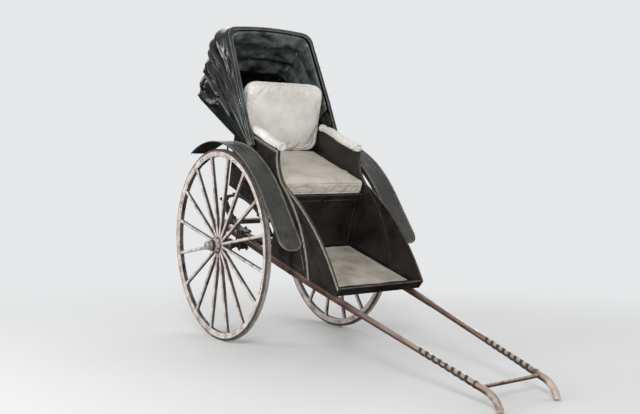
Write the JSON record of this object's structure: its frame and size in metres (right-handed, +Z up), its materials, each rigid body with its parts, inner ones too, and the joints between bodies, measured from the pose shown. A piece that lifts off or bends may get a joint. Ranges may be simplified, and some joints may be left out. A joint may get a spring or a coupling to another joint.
{
  "type": "pulled rickshaw",
  "caption": "Two-wheeled passenger rickshaw parked on its shafts, with wooden spoked wheels, leaf springs, mudguards, padded seat and half-raised folding hood.",
  "frame": {"origin": "on the floor at the middle of the box around the parked vehicle, in its plane of symmetry", "axes": "+Z up, the front and the shafts towards -Y, the vehicle's right-hand side towards -X"},
  "size_m": [0.994, 2.5396, 1.8273],
  "materials": {
    "tyre": "dusty solid tyre",
    "wheel_wood": "dusty painted wood",
    "hub_wood": "dark lacquered wood",
    "iron": "black painted iron",
    "shaft_wood": "dark lacquered wood, worn at the grips",
    "body_wood": "black lacquered wood",
    "seat_cloth": "cotton cover",
    "white_cloth": "off-white cotton cover",
    "mat": "woven mat",
    "guard_leather": "black lacquered hide",
    "bow_iron": "black painted iron and ash",
    "hood_cloth": "black oiled cloth with a dull sheen"
  },
  "bodies": {
    "carriage": {"axle": "iron", "springs": "iron", "spring_clamps": "iron", "right_shaft": "shaft_wood", "left_shaft": "shaft_wood", "tip_crossbar": "shaft_wood", "front_crossbar": "shaft_wood", "rear_crossbar": "shaft_wood", "sills": "body_wood", "right_side_panel": "body_wood", "left_side_panel": "body_wood", "toe_panels": "body_wood", "seat_box": "body_wood", "foot_riser": "body_wood", "seat_board": "body_wood", "back_panel": "body_wood", "footboard": "body_wood", "toe_board": "body_wood", "body_brackets": "iron", "seat_cushion": "seat_cloth", "back_cushion": "white_cloth", "arm_pads": "white_cloth", "floor_mat": "mat", "right_mudguard": "guard_leather", "left_mudguard": "guard_leather", "guard_stays": "iron", "hood_pivots": "iron", "hood_back_curtain": "hood_cloth"},
    "right_wheel": {"right_tyre": "tyre", "right_rim": "wheel_wood", "right_spokes": "wheel_wood", "right_hub": "hub_wood", "right_hub_cap": "iron"},
    "left_wheel": {"left_tyre": "tyre", "left_rim": "wheel_wood", "left_spokes": "wheel_wood", "left_hub": "hub_wood", "left_hub_cap": "iron"},
    "rear_bow": {"hood_rear_bow": "bow_iron", "hood_rear_panel": "hood_cloth"},
    "third_bow": {"hood_third_bow": "bow_iron", "hood_middle_panel": "hood_cloth"},
    "second_bow": {"hood_second_bow": "bow_iron", "hood_front_panel": "hood_cloth"},
    "front_bow": {"hood_front_bow": "bow_iron"}
  },
  "joints": [
    {"name": "right_wheel_spin", "type": "hinge", "parent": "carriage", "child": "right_wheel", "pos_m": [-0.405, 0.71984, 0.55], "axis": [1, 0, 0], "continuous": true},
    {"name": "left_wheel_spin", "type": "hinge", "parent": "carriage", "child": "left_wheel", "pos_m": [0.405, 0.71984, 0.55], "axis": [1, 0, 0], "continuous": true},
    {"name": "hood_fold", "type": "hinge", "parent": "carriage", "child": "rear_bow", "pos_m": [0, 0.50644, 1.06861], "axis": [1, 0, 0], "range_deg": [-21, 33], "deforming": ["hood_front_panel", "hood_middle_panel", "hood_rear_panel", "hood_back_curtain"]},
    {"name": "third_bow_fold", "type": "hinge", "parent": "rear_bow", "child": "third_bow", "pos_m": [0, 0.50644, 1.06861], "axis": [1, 0, 0], "range_deg": [-4.2, 6.6]},
    {"name": "second_bow_fold", "type": "hinge", "parent": "third_bow", "child": "second_bow", "pos_m": [0, 0.50644, 1.06861], "axis": [1, 0, 0], "range_deg": [-4.62, 7.26]},
    {"name": "front_bow_fold", "type": "hinge", "parent": "second_bow", "child": "front_bow", "pos_m": [0, 0.50644, 1.06861], "axis": [1, 0, 0], "range_deg": [-5.25, 8.25]}
  ],
  "couplings": [
    {"joint": "third_bow_fold", "follows": "hood_fold", "ratio": 0.2},
    {"joint": "second_bow_fold", "follows": "hood_fold", "ratio": 0.22},
    {"joint": "front_bow_fold", "follows": "hood_fold", "ratio": 0.25}
  ]
}
